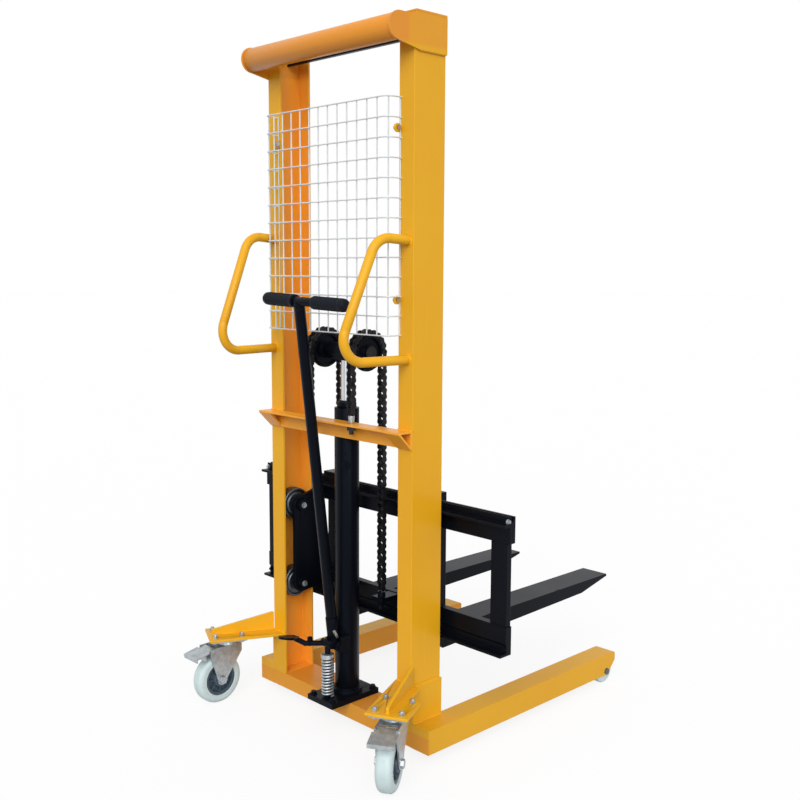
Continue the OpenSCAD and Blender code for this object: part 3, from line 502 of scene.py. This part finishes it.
def makeGuard():
    g = guard
    low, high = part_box("guard_mesh")
    r = g["wire"] / 1000
    half = high.x * 1000 - g["wire"]
    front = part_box("guard_mesh_sides")[1].y
    deep = (front - low.y) * 1000 - g["wire"]  # from the ends of the hoops to the back of the guard
    bottom, tall = low.z + r, high.z - low.z - 2 * r
    bend = ("turn", 90, (0, 0, 1), g["bend"] / 1000, g["bendSteps"])
    ends = ("go", (deep - g["bend"]) / 1000)
    moves = [ends, bend, ("go", 2 * (half - g["bend"]) / 1000), bend, ends]
    hoop = sweep("hoop", r, Vector((-half / 1000, front, bottom)), (0, -1, 0), moves, g["sides"])
    parts = [hoop]
    for i in range(1, g["rows"] + 1):
        parts.append(copyOf(hoop, Matrix.Translation((0, 0, i * tall / g["rows"]))))
    upright = sweep("upright", r, Vector((0, front, bottom)), (0, 0, 1), [("go", tall)], g["sides"])
    reach = half - g["bend"] + g["bend"] * math.pi / 2 + deep - g["bend"] - g["wire"]
    ways = [(i - g["gaps"] / 2) * g["pitch"] for i in range(g["gaps"] + 1)] + [-reach, reach]
    inward = 1.6 * g["wire"]  # the uprights are welded on the inner side of the hoops
    for way in ways:
        x, y, (nx, ny) = hoopSpot(way, half, deep)
        place = Vector((x + nx * inward, y + ny * inward, 0)) / 1000
        parts.append(copyOf(upright, Matrix.Translation(place)))
    bpy.data.objects.remove(upright)
    made = fitted("guardWires", parts, "white_wire", "frame")
    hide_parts("guard_mesh", "guard_mesh_sides")


makeGuard()
print("wire guard made")


chain = {"pitch": 19.05, "pulleyRadius": 61, "plateTall": 17.4, "plateThick": 2.8, "waist": 0.72,
         "inner": 6.0, "outer": 9.3, "pinReach": 13, "pinRadius": 3.1, "rollerRadius": 5.9,
         "fixedLinks": 9, "fixedPieces": 18, "fixedShort": 3,
         "liftLinks": 38, "liftPieces": 10, "liftShort": 5}


def makeLink(name, away):  # one pitch of chain along -Z from the origin, plates at a distance from the middle
    c = chain
    tall, pitch = c["plateTall"] / 1000, c["pitch"] / 1000
    deselect()
    bpy.ops.mesh.primitive_plane_add(size=1, location=(0, 0, -pitch / 2), rotation=(0, math.pi / 2, 0))
    plate = bpy.context.object
    plate.scale = (pitch + tall, tall, 1)
    bpy.ops.object.transform_apply(location=True, rotation=True, scale=True)
    bpy.ops.object.mode_set(mode="EDIT")
    bpy.ops.mesh.select_all(action="SELECT")
    bpy.ops.mesh.bevel(affect="VERTICES", offset=tall * 0.499, segments=4)
    points = plate.data.vertices
    pick(plate, lambda e: abs(sum(points[v].co.z for v in e.vertices) / 2 + pitch / 2) < 0.001, "EDGE")
    bpy.ops.mesh.subdivide(number_cuts=1)
    pick(plate, lambda v: abs(v.co.z + pitch / 2) < 0.001, "VERT")
    bpy.ops.transform.resize(value=(1, c["waist"], 1), center_override=(0, 0, -pitch / 2))
    bpy.ops.mesh.select_all(action="SELECT")
    bpy.ops.mesh.extrude_region_move(TRANSFORM_OT_translate={"value": (c["plateThick"] / 1000, 0, 0)})
    closeUp(plate)
    plate.data.transform(Matrix.Translation((away / 1000, 0, 0)))
    twin = copyOf(plate, Matrix.Translation((-(2 * away + c["plateThick"]) / 1000, 0, 0)))
    reach, thick, inner = c["pinReach"] / 1000, c["pinRadius"] / 1000, c["inner"] / 1000
    barrel = c["rollerRadius"] / 1000
    moves = [("go", reach - inner), ("size", barrel / thick), ("go", 2 * inner), ("size", thick / barrel),
             ("go", reach - inner)]
    pin = sweep("pin", thick, (-reach, 0, 0), (1, 0, 0), moves, 10)
    return joined(name, [plate, twin, pin])


def settledShare(share):  # the share of the way at which a smooth step has that height
    return 0.5 - math.sin(math.asin(1 - 2 * share) / 3)


def follow(obj, share, mover):  # pieces at the ends of the travel go with the frame or the mover; a piece between only has its transform baked
    if share <= 0 or share >= 1:
        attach(obj, "frame" if share <= 0 else mover)
        return
    place = settledShare(share)
    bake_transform(obj)


def nested(k):  # lengths that share a place at rest lie a hair's breadth inside one another
    middle = Vector((0, 0, -chain["pitch"] / 2000))
    return Matrix.Translation(middle) @ Matrix.Scale(1 - 0.0015 * k, 4) @ Matrix.Translation(-middle)


def makeChains():
    c = chain
    links = [makeLink("innerLink", c["inner"] + 0.4), makeLink("outerLink", c["outer"] + 0.4)]
    radius, pitch = c["pulleyRadius"] / 1000, c["pitch"] / 1000
    half = 2 * math.asin(pitch / 2 / radius)
    turns = int(math.pi / half)
    first = (math.pi - turns * half) / 2
    for word in ("Left", "Right"):
        middle = jointAt[f"pulley_{word.lower()}_turn"]
        wrap = []
        for i in range(turns):
            angle = first + i * half
            spot = middle + Vector((0, math.cos(angle), math.sin(angle))) * radius
            aim = Matrix.Rotation(angle + half / 2 + math.pi, 4, "X")
            wrap.append(copyOf(links[i % 2], Matrix.Translation(spot) @ aim))
        wrapped = fitted("chainWrap" + word, wrap, "chain_steel", "lift_ram")
        rear = middle - Vector((0, radius, 0))
        front = middle + Vector((0, radius, 0))
        pieces = []
        for k in range(c["fixedPieces"]):
            share = k / (c["fixedPieces"] - 1)
            low = round((c["fixedLinks"] - c["fixedShort"]) * (1 - share))
            run = [copyOf(links[i % 2],
                          Matrix.Translation(rear - Vector((0, 0, i * pitch))) @ nested(k))
                   for i in range(low, low + c["fixedShort"])]
            pieces.append((dress(joined(f"chainFixed{word}{k:02d}", run), "chain_steel"), share, "lift_ram"))
        for k in range(c["liftPieces"]):
            share = 0.5 + 0.5 * k / (c["liftPieces"] - 1)
            low = round((c["liftLinks"] - c["liftShort"]) * k / (c["liftPieces"] - 1))
            run = [copyOf(links[(i + 1) % 2],
                          Matrix.Translation(front - Vector((0, 0, i * pitch))) @ nested(k))
                   for i in range(low, low + c["liftShort"])]
            pieces.append((dress(joined(f"chainLift{word}{k:02d}", run), "chain_steel"), share, "carriage"))
        for piece, share, mover in pieces:
            follow(piece, share, mover)
        if word == "Left":
            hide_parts("chain_wraps")
            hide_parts("chain_fixed_runs")
            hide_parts("chain_lift_runs")
    for link in links:
        bpy.data.objects.remove(link)


makeChains()
print("lift chains made")


spring = {"outer": 20, "wire": 3.25, "coils": 13, "steps": 28, "sides": 10, "cupRadius": 20, "cupTall": 10}


def makeSpring():
    s = spring
    low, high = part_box("plunger_spring")
    middle = (low + high) / 2
    r, big = s["wire"] / 1000, (s["outer"] - s["wire"]) / 1000
    deselect()
    bpy.ops.mesh.primitive_circle_add(vertices=s["sides"], radius=r, location=(big, 0, low.z + r),
                                      rotation=(math.pi / 2, 0, 0))
    coil = bpy.context.object
    bpy.ops.object.transform_apply(location=True, rotation=True, scale=True)
    screw = coil.modifiers.new("coils", "SCREW")
    screw.screw_offset = (high.z - low.z - 2 * r) / s["coils"]
    screw.iterations = s["coils"]
    screw.steps = screw.render_steps = s["steps"]
    bpy.ops.object.modifier_apply(modifier="coils")
    closeUp(coil)
    coil.data.transform(Matrix.Translation((middle.x, middle.y, 0)))
    fitted("returnSpring", [coil], "zinc_steel", "frame", 50)
    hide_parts("plunger_spring")
    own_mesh(coil)
    top = Vector((middle.x, middle.y, high.z + 0.0075))
    moves = [("go", 0.001), ("size", 1.08), ("go", (s["cupTall"] - 3) / 1000), ("size", 1.05), ("go", 0.002)]
    cup = sweep("cup", s["cupRadius"] / 1000 / 1.08, top, (0, 0, -1), moves, 32)
    fitted("springCup", [cup], "zinc_steel", "plunger", 40)


makeSpring()
print("return spring made")


lever = {"lean": 6.9, "tall": 1059, "tilt": 2, "shift": 26, "barHalf": 179}
grip = {"long": 138, "radius": 19.2, "collar": 19.6, "ribs": 20, "groove": 0.955, "plain": 34, "sides": 36,
        "endGap": 3}


def onLever(x, y, z):  # millimetres from the pivot in the leaning frame of the pump handle
    lean = Matrix.Rotation(math.radians(lever["lean"]), 3, "X")
    return jointAt["pump_lever_swing"] + lean @ Vector((x, y, z)) / 1000


def makeGrips():
    g = grip
    tilt = math.radians(lever["tilt"])
    lean = Matrix.Rotation(math.radians(lever["lean"]), 3, "X")
    along = lean @ Vector((math.cos(tilt), 0, -math.sin(tilt)))
    middle = onLever(0, 0, lever["tall"]) + along * lever["shift"] / 1000
    inner = (lever["barHalf"] + g["endGap"] - g["long"]) / 1000
    rib = (g["long"] - g["plain"]) / g["ribs"] / 1000
    swell = g["collar"] / g["radius"]
    moves = [("go", 0.004), ("size", swell), ("go", 0.006), ("size", 1 / swell), ("go", 0.004)]
    for i in range(g["ribs"]):
        moves += [("size", g["groove"]), ("go", rib * 0.3), ("size", 1 / g["groove"]), ("go", rib * 0.7)]
    moves += [("go", 0.010), ("size", 0.96), ("go", 0.005), ("size", 0.88), ("go", 0.003),
              ("size", 0.72), ("go", 0.002)]
    for side, word in ((-1, "Left"), (1, "Right")):
        start = middle + along * side * inner
        made = sweep("grip" + word, g["radius"] / 1000, start, along * side, moves, g["sides"])
        fitted(made.name, [made], "black_rubber", "pump_lever", 40)
        if side == -1:
            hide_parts("handle_grips")


makeGrips()
print("grips made")


weld = {"bead": 2.6, "step": 6, "swell": 1.2, "sides": 8,
        "columnOut": 322, "columnIn": 264, "depth": 119, "plate": 330, "braceTop": 952, "braceLow": 900,
        "plateTop": 212, "plateRear": 218, "legTop": 102, "baseTop": 80, "capLow": 1976,
        "grabX": 300, "grabRadius": 13.6, "grabDrop": 7.6,
        "beamX": (246, 258), "beamY": 148, "beamLong": (3, 44), "uprightX": (489, 541), "uprightY": 150,
        "cylinderY": 39, "cylinderZ": 108.5, "cylinderRadius": 37.6, "barDrop": 13, "barRadius": 16.7}


def weldLine(start, end):
    way = end - start
    count = 2 * max(1, round(way.length * 500 / weld["step"]))
    moves = []
    for i in range(count):
        moves += [("go", way.length / count), ("size", weld["swell"] if i % 2 == 0 else 1 / weld["swell"])]
    return sweep("weldLine", weld["bead"] / 1000, start, way, moves, weld["sides"])


def weldRing(middle, axis, radius):
    axis = Vector(axis)
    out = axis.orthogonal().normalized()
    steps = 2 * round(math.pi * radius * 1000 / weld["step"])
    moves = []
    for i in range(steps):
        swell = weld["swell"] if i % 2 == 0 else 1 / weld["swell"]
        moves += [("turn", 360 / steps, axis, radius, 1), ("size", swell)]
    start = middle + out * radius
    return sweep("weldRing", weld["bead"] / 1000, start, axis.cross(out), moves, weld["sides"])


def makeWelds():
    w = weld
    inner, outer, plate, depth = w["columnIn"], w["columnOut"], w["plate"], w["depth"]
    grabs = {-1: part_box("grab_handle_left"), 1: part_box("grab_handle_right")}
    beads = []
    for side in (-1, 1):
        lines = [((inner, 0, w["braceTop"]), (outer, 0, w["braceTop"])),
                 ((inner, -1, w["braceLow"]), (outer, -1, w["braceLow"])),
                 ((outer + 2, 4, w["plateTop"]), (outer + 2, depth - 4, w["plateTop"])),
                 ((plate, 4, w["legTop"]), (plate, depth - 4, w["legTop"])),
                 ((inner, 0, w["plateRear"]), (plate, 0, w["plateRear"])),
                 ((outer - 8, 12, w["baseTop"]), (outer - 8, depth - 12, w["baseTop"])),
                 ((outer + 2, 18, w["capLow"]), (outer + 2, depth - 3, w["capLow"])),
                 ((inner, depth, w["baseTop"]), (outer, depth, w["baseTop"]))]
        for a, b in lines:
            beads.append(weldLine(at(side * a[0], a[1], a[2]), at(side * b[0], b[1], b[2])))
        low, high = grabs[side]
        ring = w["grabRadius"] / 1000
        spot = at(side * w["grabX"], 0, 0)
        for z in (low.z + ring, high.z - ring - w["grabDrop"] / 1000):
            beads.append(weldRing(Vector((spot.x, spot.y, z)), (0, 1, 0), ring))
    fitted("frameWelds", beads, "yellow_paint", "frame", 60)

    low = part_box("carriage_lower_beam")[1].z
    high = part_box("carriage_upper_beam")[0].z
    near, far = (v / 1000 for v in w["beamLong"])
    dark = []
    for side in (-1, 1):
        for x in w["beamX"]:
            spot = at(side * x, w["beamY"], 0)
            for z0, z1 in ((low - far, low - near), (high + near, high + far)):
                dark.append(weldLine(Vector((spot.x, spot.y, z0)), Vector((spot.x, spot.y, z1))))
        for z in (low, high):
            a, b = (at(side * x, w["uprightY"], 0) for x in w["uprightX"])
            dark.append(weldLine(Vector((a.x, a.y, z)), Vector((b.x, b.y, z))))
    fitted("carriageWelds", dark, "black_paint", "carriage", 60)
    foot = weldRing(at(0, w["cylinderY"], w["cylinderZ"]), (0, 0, 1), w["cylinderRadius"] / 1000)
    fitted("cylinderWeld", [foot], "black_paint", "frame", 60)
    up = (onLever(0, 0, 1) - onLever(0, 0, 0)).normalized()
    bar = weldRing(onLever(0, 0, lever["tall"] - w["barDrop"]), up, w["barRadius"] / 1000)
    fitted("barWeld", [bar], "black_paint", "pump_lever", 60)


makeWelds()
print("weld beads made")


bolts = {"foot": 10, "footInset": 13, "footZ": 97, "stop": 6.5, "stopY": 152, "upperStop": (547, 711),
         "lowerStop": (538, 345), "axle": 8, "axleX": 236, "bleed": 4.5, "bleedZ": 813, "plugZ": (848, 790),
         "drainZ": 268, "bossRadius": 15, "bossTurn": 43, "cylinderRadius": 37.5, "cylinderY": 39}


def hexBolt(spot, axis, size):  # a washer and a hexagon head with a turned-down crown
    way = Vector(axis).normalized()
    r = size / 1000
    flat = [("go", 0.0025), ("size", 0.95), ("go", 0.0005)]
    washer = sweep("washer", 1.2 * r, spot - way * 0.0005, way, flat, 20)
    crown = [("go", 0.62 * r), ("size", 0.87), ("go", 0.12 * r)]
    head = sweep("head", r, spot + way * 0.002, way, crown, 6)
    return [washer, head]


def makeBolts():
    b = bolts
    low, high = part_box("pump_base")
    inset = b["footInset"] / 1000
    parts = []
    for x in (low.x + inset, high.x - inset):
        for y in (low.y + inset, high.y - inset):
            parts += hexBolt(Vector((x, y, at(0, 0, b["footZ"]).z)), (0, 0, 1), b["foot"])
    fitted("footBolts", parts, "black_paint", "frame", 30)

    upper, lower = [], []
    for side in (-1, 1):
        for made, (x, z) in ((upper, b["upperStop"]), (lower, b["lowerStop"])):
            made += hexBolt(at(side * x, b["stopY"], z), (0, -1, 0), b["stop"])
    fitted("stopBolts", upper, "zinc_steel", "carriage", 30)
    fitted("lowerStopBolts", lower, "black_paint", "carriage", 30)

    ends = []
    for side, word in ((-1, "left"), (1, "right")):
        for level in ("upper", "lower"):
            spot = jointAt[f"roller_{level}_{word}_turn"]
            ends += hexBolt(Vector((side * b["axleX"] / 1000, spot.y, spot.z)), (-side, 0, 0), b["axle"])
    fitted("axleScrews", ends, "zinc_steel", "carriage", 30)

    turn = math.radians(b["bossTurn"])
    way = Vector((math.sin(turn), -math.cos(turn), 0))

    def onCylinder(z, out):
        return at(0, b["cylinderY"], z) + way * (b["cylinderRadius"] + out) / 1000

    dome = [("go", 0.007), ("size", 0.9), ("go", 0.0015)]
    boss = sweep("boss", b["bossRadius"] / 1000, onCylinder(b["bleedZ"], -5), way, dome, 28)
    plugs = [sweep("plug", 0.004, onCylinder(z, -1), way, [("go", 0.002), ("size", 0.8), ("go", 0.001)], 12)
             for z in b["plugZ"]]
    fitted("bleedBoss", [boss] + plugs, "black_paint", "frame", 40)
    screws = hexBolt(onCylinder(b["bleedZ"], 3.4), way, b["bleed"])
    button = [("go", 0.003), ("size", 0.8), ("go", 0.001)]
    screws.append(sweep("drain", 0.004, onCylinder(b["drainZ"], -1), way, button, 12))
    fitted("bleedScrews", screws, "black_paint", "frame", 30)


makeBolts()
print("bolts and screws made")


linkage = {"clampSize": (4, 9, 30), "clampAt": (20, -6, 42), "clampLean": 24,
           "knobAt": (-40, -62, 10), "knobRadius": 6.5, "wiperY": 39, "wiperRadius": 27}


def makeLinkage():
    k = linkage
    lean = Matrix.Rotation(math.radians(lever["lean"] + k["clampLean"]), 4, "X")
    size = [side / 1000 for side in k["clampSize"]]
    clamp = block("clamp", onLever(*k["clampAt"]), size, lean, 0.0012)
    fitted("socketClamp", [clamp], "zinc_steel", "pump_lever", 40)
    r = k["knobRadius"] / 1000
    moves = [("go", 0.016), ("size", 1.3), ("go", 0.001), ("size", 1.05), ("go", 0.008),
             ("size", 0.85), ("go", 0.001)]
    knob = sweep("knob", r, onLever(*k["knobAt"]), (0, 0, 1), moves, 18)
    fitted("pedalKnob", [knob], "black_paint", "pump_lever", 40)
    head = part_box("cylinder_head")[1].z
    spot = at(0, k["wiperY"], 0)
    ring = sweep("ring", k["wiperRadius"] / 1000, Vector((spot.x, spot.y, head - 0.001)), (0, 0, 1),
                 [("go", 0.004), ("size", 0.94), ("go", 0.002), ("size", 0.80), ("go", 0.001)], 40)
    fitted("rodWiper", [ring], "black_rubber", "frame", 40)


makeLinkage()
print("pump linkage made")


hub = {"ribs": 8, "inner": 25, "outer": 44, "thick": 4, "web": 8, "tall": 11}


def makeHubs():
    h = hub
    long = h["outer"] - h["inner"]
    for word, body in (("left", "wheel_l"), ("right", "wheel_r")):
        middle = jointAt[f"caster_{word}_roll"]
        axle = jointAxis[f"caster_{word}_roll"]
        turn = math.atan2(axle.y, axle.x)
        face = Matrix.Translation(middle) @ Matrix.Rotation(turn, 4, "Z")
        size = (h["tall"] / 1000, h["thick"] / 1000, long / 1000)
        rib = block("rib", Vector((0, 0, 0)), size, Matrix.Identity(4), 0.001)
        parts = []
        for side in (-1, 1):
            for i in range(h["ribs"]):
                spin = Matrix.Rotation(2 * math.pi * i / h["ribs"], 4, "X")
                out = side * (h["web"] + h["tall"] / 2 - 1)
                place = Vector((out, 0, h["inner"] + long / 2)) / 1000
                parts.append(copyOf(rib, face @ spin @ Matrix.Translation(place)))
        bpy.data.objects.remove(rib)
        fitted("hubRibs" + word.capitalize(), parts, "slate_plastic", body, 40)


makeHubs()
print("caster hubs made")


edgeRound = {"width": 0.0016, "segments": 2, "angle": 40,
             "skip": ("guard_mesh", "guard_mesh_sides", "chain_fixed_runs", "chain_lift_runs", "chain_wraps",
                      "plunger_spring", "handle_grips", "lift_rod")}


def roundEdges():
    for name, obj in nodes.items():
        if name in edgeRound["skip"]:
            continue
        weldPoints = obj.modifiers.new("points", "WELD")
        weldPoints.merge_threshold = 0.00001
        bevel = obj.modifiers.new("edge", "BEVEL")
        bevel.width = edgeRound["width"]
        bevel.segments = edgeRound["segments"]
        bevel.limit_method = "ANGLE"
        bevel.angle_limit = math.radians(edgeRound["angle"])
        bevel.use_clamp_overlap = True
        bevel.harden_normals = True


roundEdges()
print("edges rounded")


stage = {"side": 120, "seen": 1.0, "bounce": 0.36, "share": 0.85, "worldLight": 0.6,
         "suns": [("keySun", (1.18, -1.55, 1.2), 1.95, 45), ("sideSun", (1.0, -0.3, 0.25), 0.5, 30)]}


def makeStage():
    s = stage
    deselect()
    bpy.ops.mesh.primitive_plane_add(size=s["side"], location=(0, 0, 0))
    floor = bpy.context.object
    floor.name = "floor"
    f = Finish("paleFloor", Roughness=0.9, Specular_IOR_Level=0.0)
    direct = f.seenDirectly()
    dim, bright = (rgb(v, v, v) for v in (s["bounce"], s["seen"]))
    f.feed("Base Color", f.mix(direct, dim, bright))
    white = f.make("ShaderNodeEmission", inputs={"Color": rgb(1, 1, 1), "Strength": 1.0})
    lit = Wire(f.tree, f.shader.outputs[0])
    mixed = f.make("ShaderNodeMixShader", inputs={0: direct * s["share"], 1: lit, 2: white})
    plug(f.tree, f.tree.nodes["Material Output"].inputs["Surface"], mixed)
    floor.data.materials.append(f.material)

    world = bpy.data.worlds.new("studio")
    bpy.context.scene.world = world
    world.use_nodes = True
    w = NodeMaker(world.node_tree)
    light = w.make("ShaderNodeBackground", inputs={"Color": rgb(1, 1, 1), "Strength": s["worldLight"]})
    backdrop = w.make("ShaderNodeBackground", inputs={"Color": rgb(1, 1, 1), "Strength": 1.0})
    both = w.make("ShaderNodeMixShader", inputs={0: w.seenDirectly(), 1: light, 2: backdrop})
    plug(w.tree, w.tree.nodes["World Output"].inputs["Surface"], both)

    for name, toward, strength, spread in s["suns"]:
        bpy.ops.object.light_add(type="SUN", location=(0, 0, 4))
        sun = bpy.context.object
        sun.name = name
        sun.data.energy = strength
        sun.data.angle = math.radians(spread)
        sun.rotation_mode = "QUATERNION"
        sun.rotation_quaternion = Vector(toward).to_track_quat("Z", "Y")
    bpy.context.scene.view_settings.view_transform = "Standard"


makeStage()
print("stage made")

deselect()
